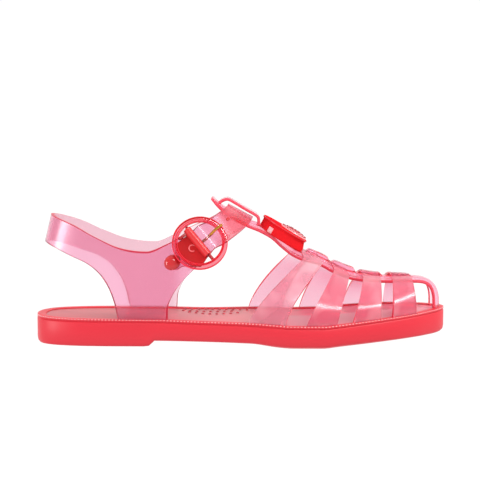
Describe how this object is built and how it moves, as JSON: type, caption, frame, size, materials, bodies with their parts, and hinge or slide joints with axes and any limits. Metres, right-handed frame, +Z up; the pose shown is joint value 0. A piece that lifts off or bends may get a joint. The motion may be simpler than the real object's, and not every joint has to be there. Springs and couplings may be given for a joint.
{
  "type": "fisherman sandal",
  "caption": "Moulded fisherman sandal for the right foot: flat sole with a low heel, caged front of cross straps, heel strap and an ankle strap fastened by a round ring buckle.",
  "frame": {"origin": "on the ground under the middle of the shoe's bounding box", "axes": "+X from heel to toe, +Y to the inner side of the foot, +Z up from the ground"},
  "size_m": [0.2562, 0.0878, 0.0901],
  "materials": {
    "sole_red": "soft moulded plastic, clear red, glossy",
    "footbed_pink": "soft moulded plastic, dusty pink, dull",
    "upper_pink": "soft moulded plastic, clear pink, glossy",
    "buckle_pink": "moulded plastic, clear pink-red, glossy",
    "brass": "polished brass wire",
    "medallion_red": "moulded plastic, deep red, glossy"
  },
  "bodies": {
    "root": {"outsole": "sole_red", "footbed": "footbed_pink", "vamp": "upper_pink", "quarters": "upper_pink", "buckle_ring": "buckle_pink", "buckle_bar": "brass", "buckle_prong": "brass", "medallion": "medallion_red"}
  },
  "joints": []
}
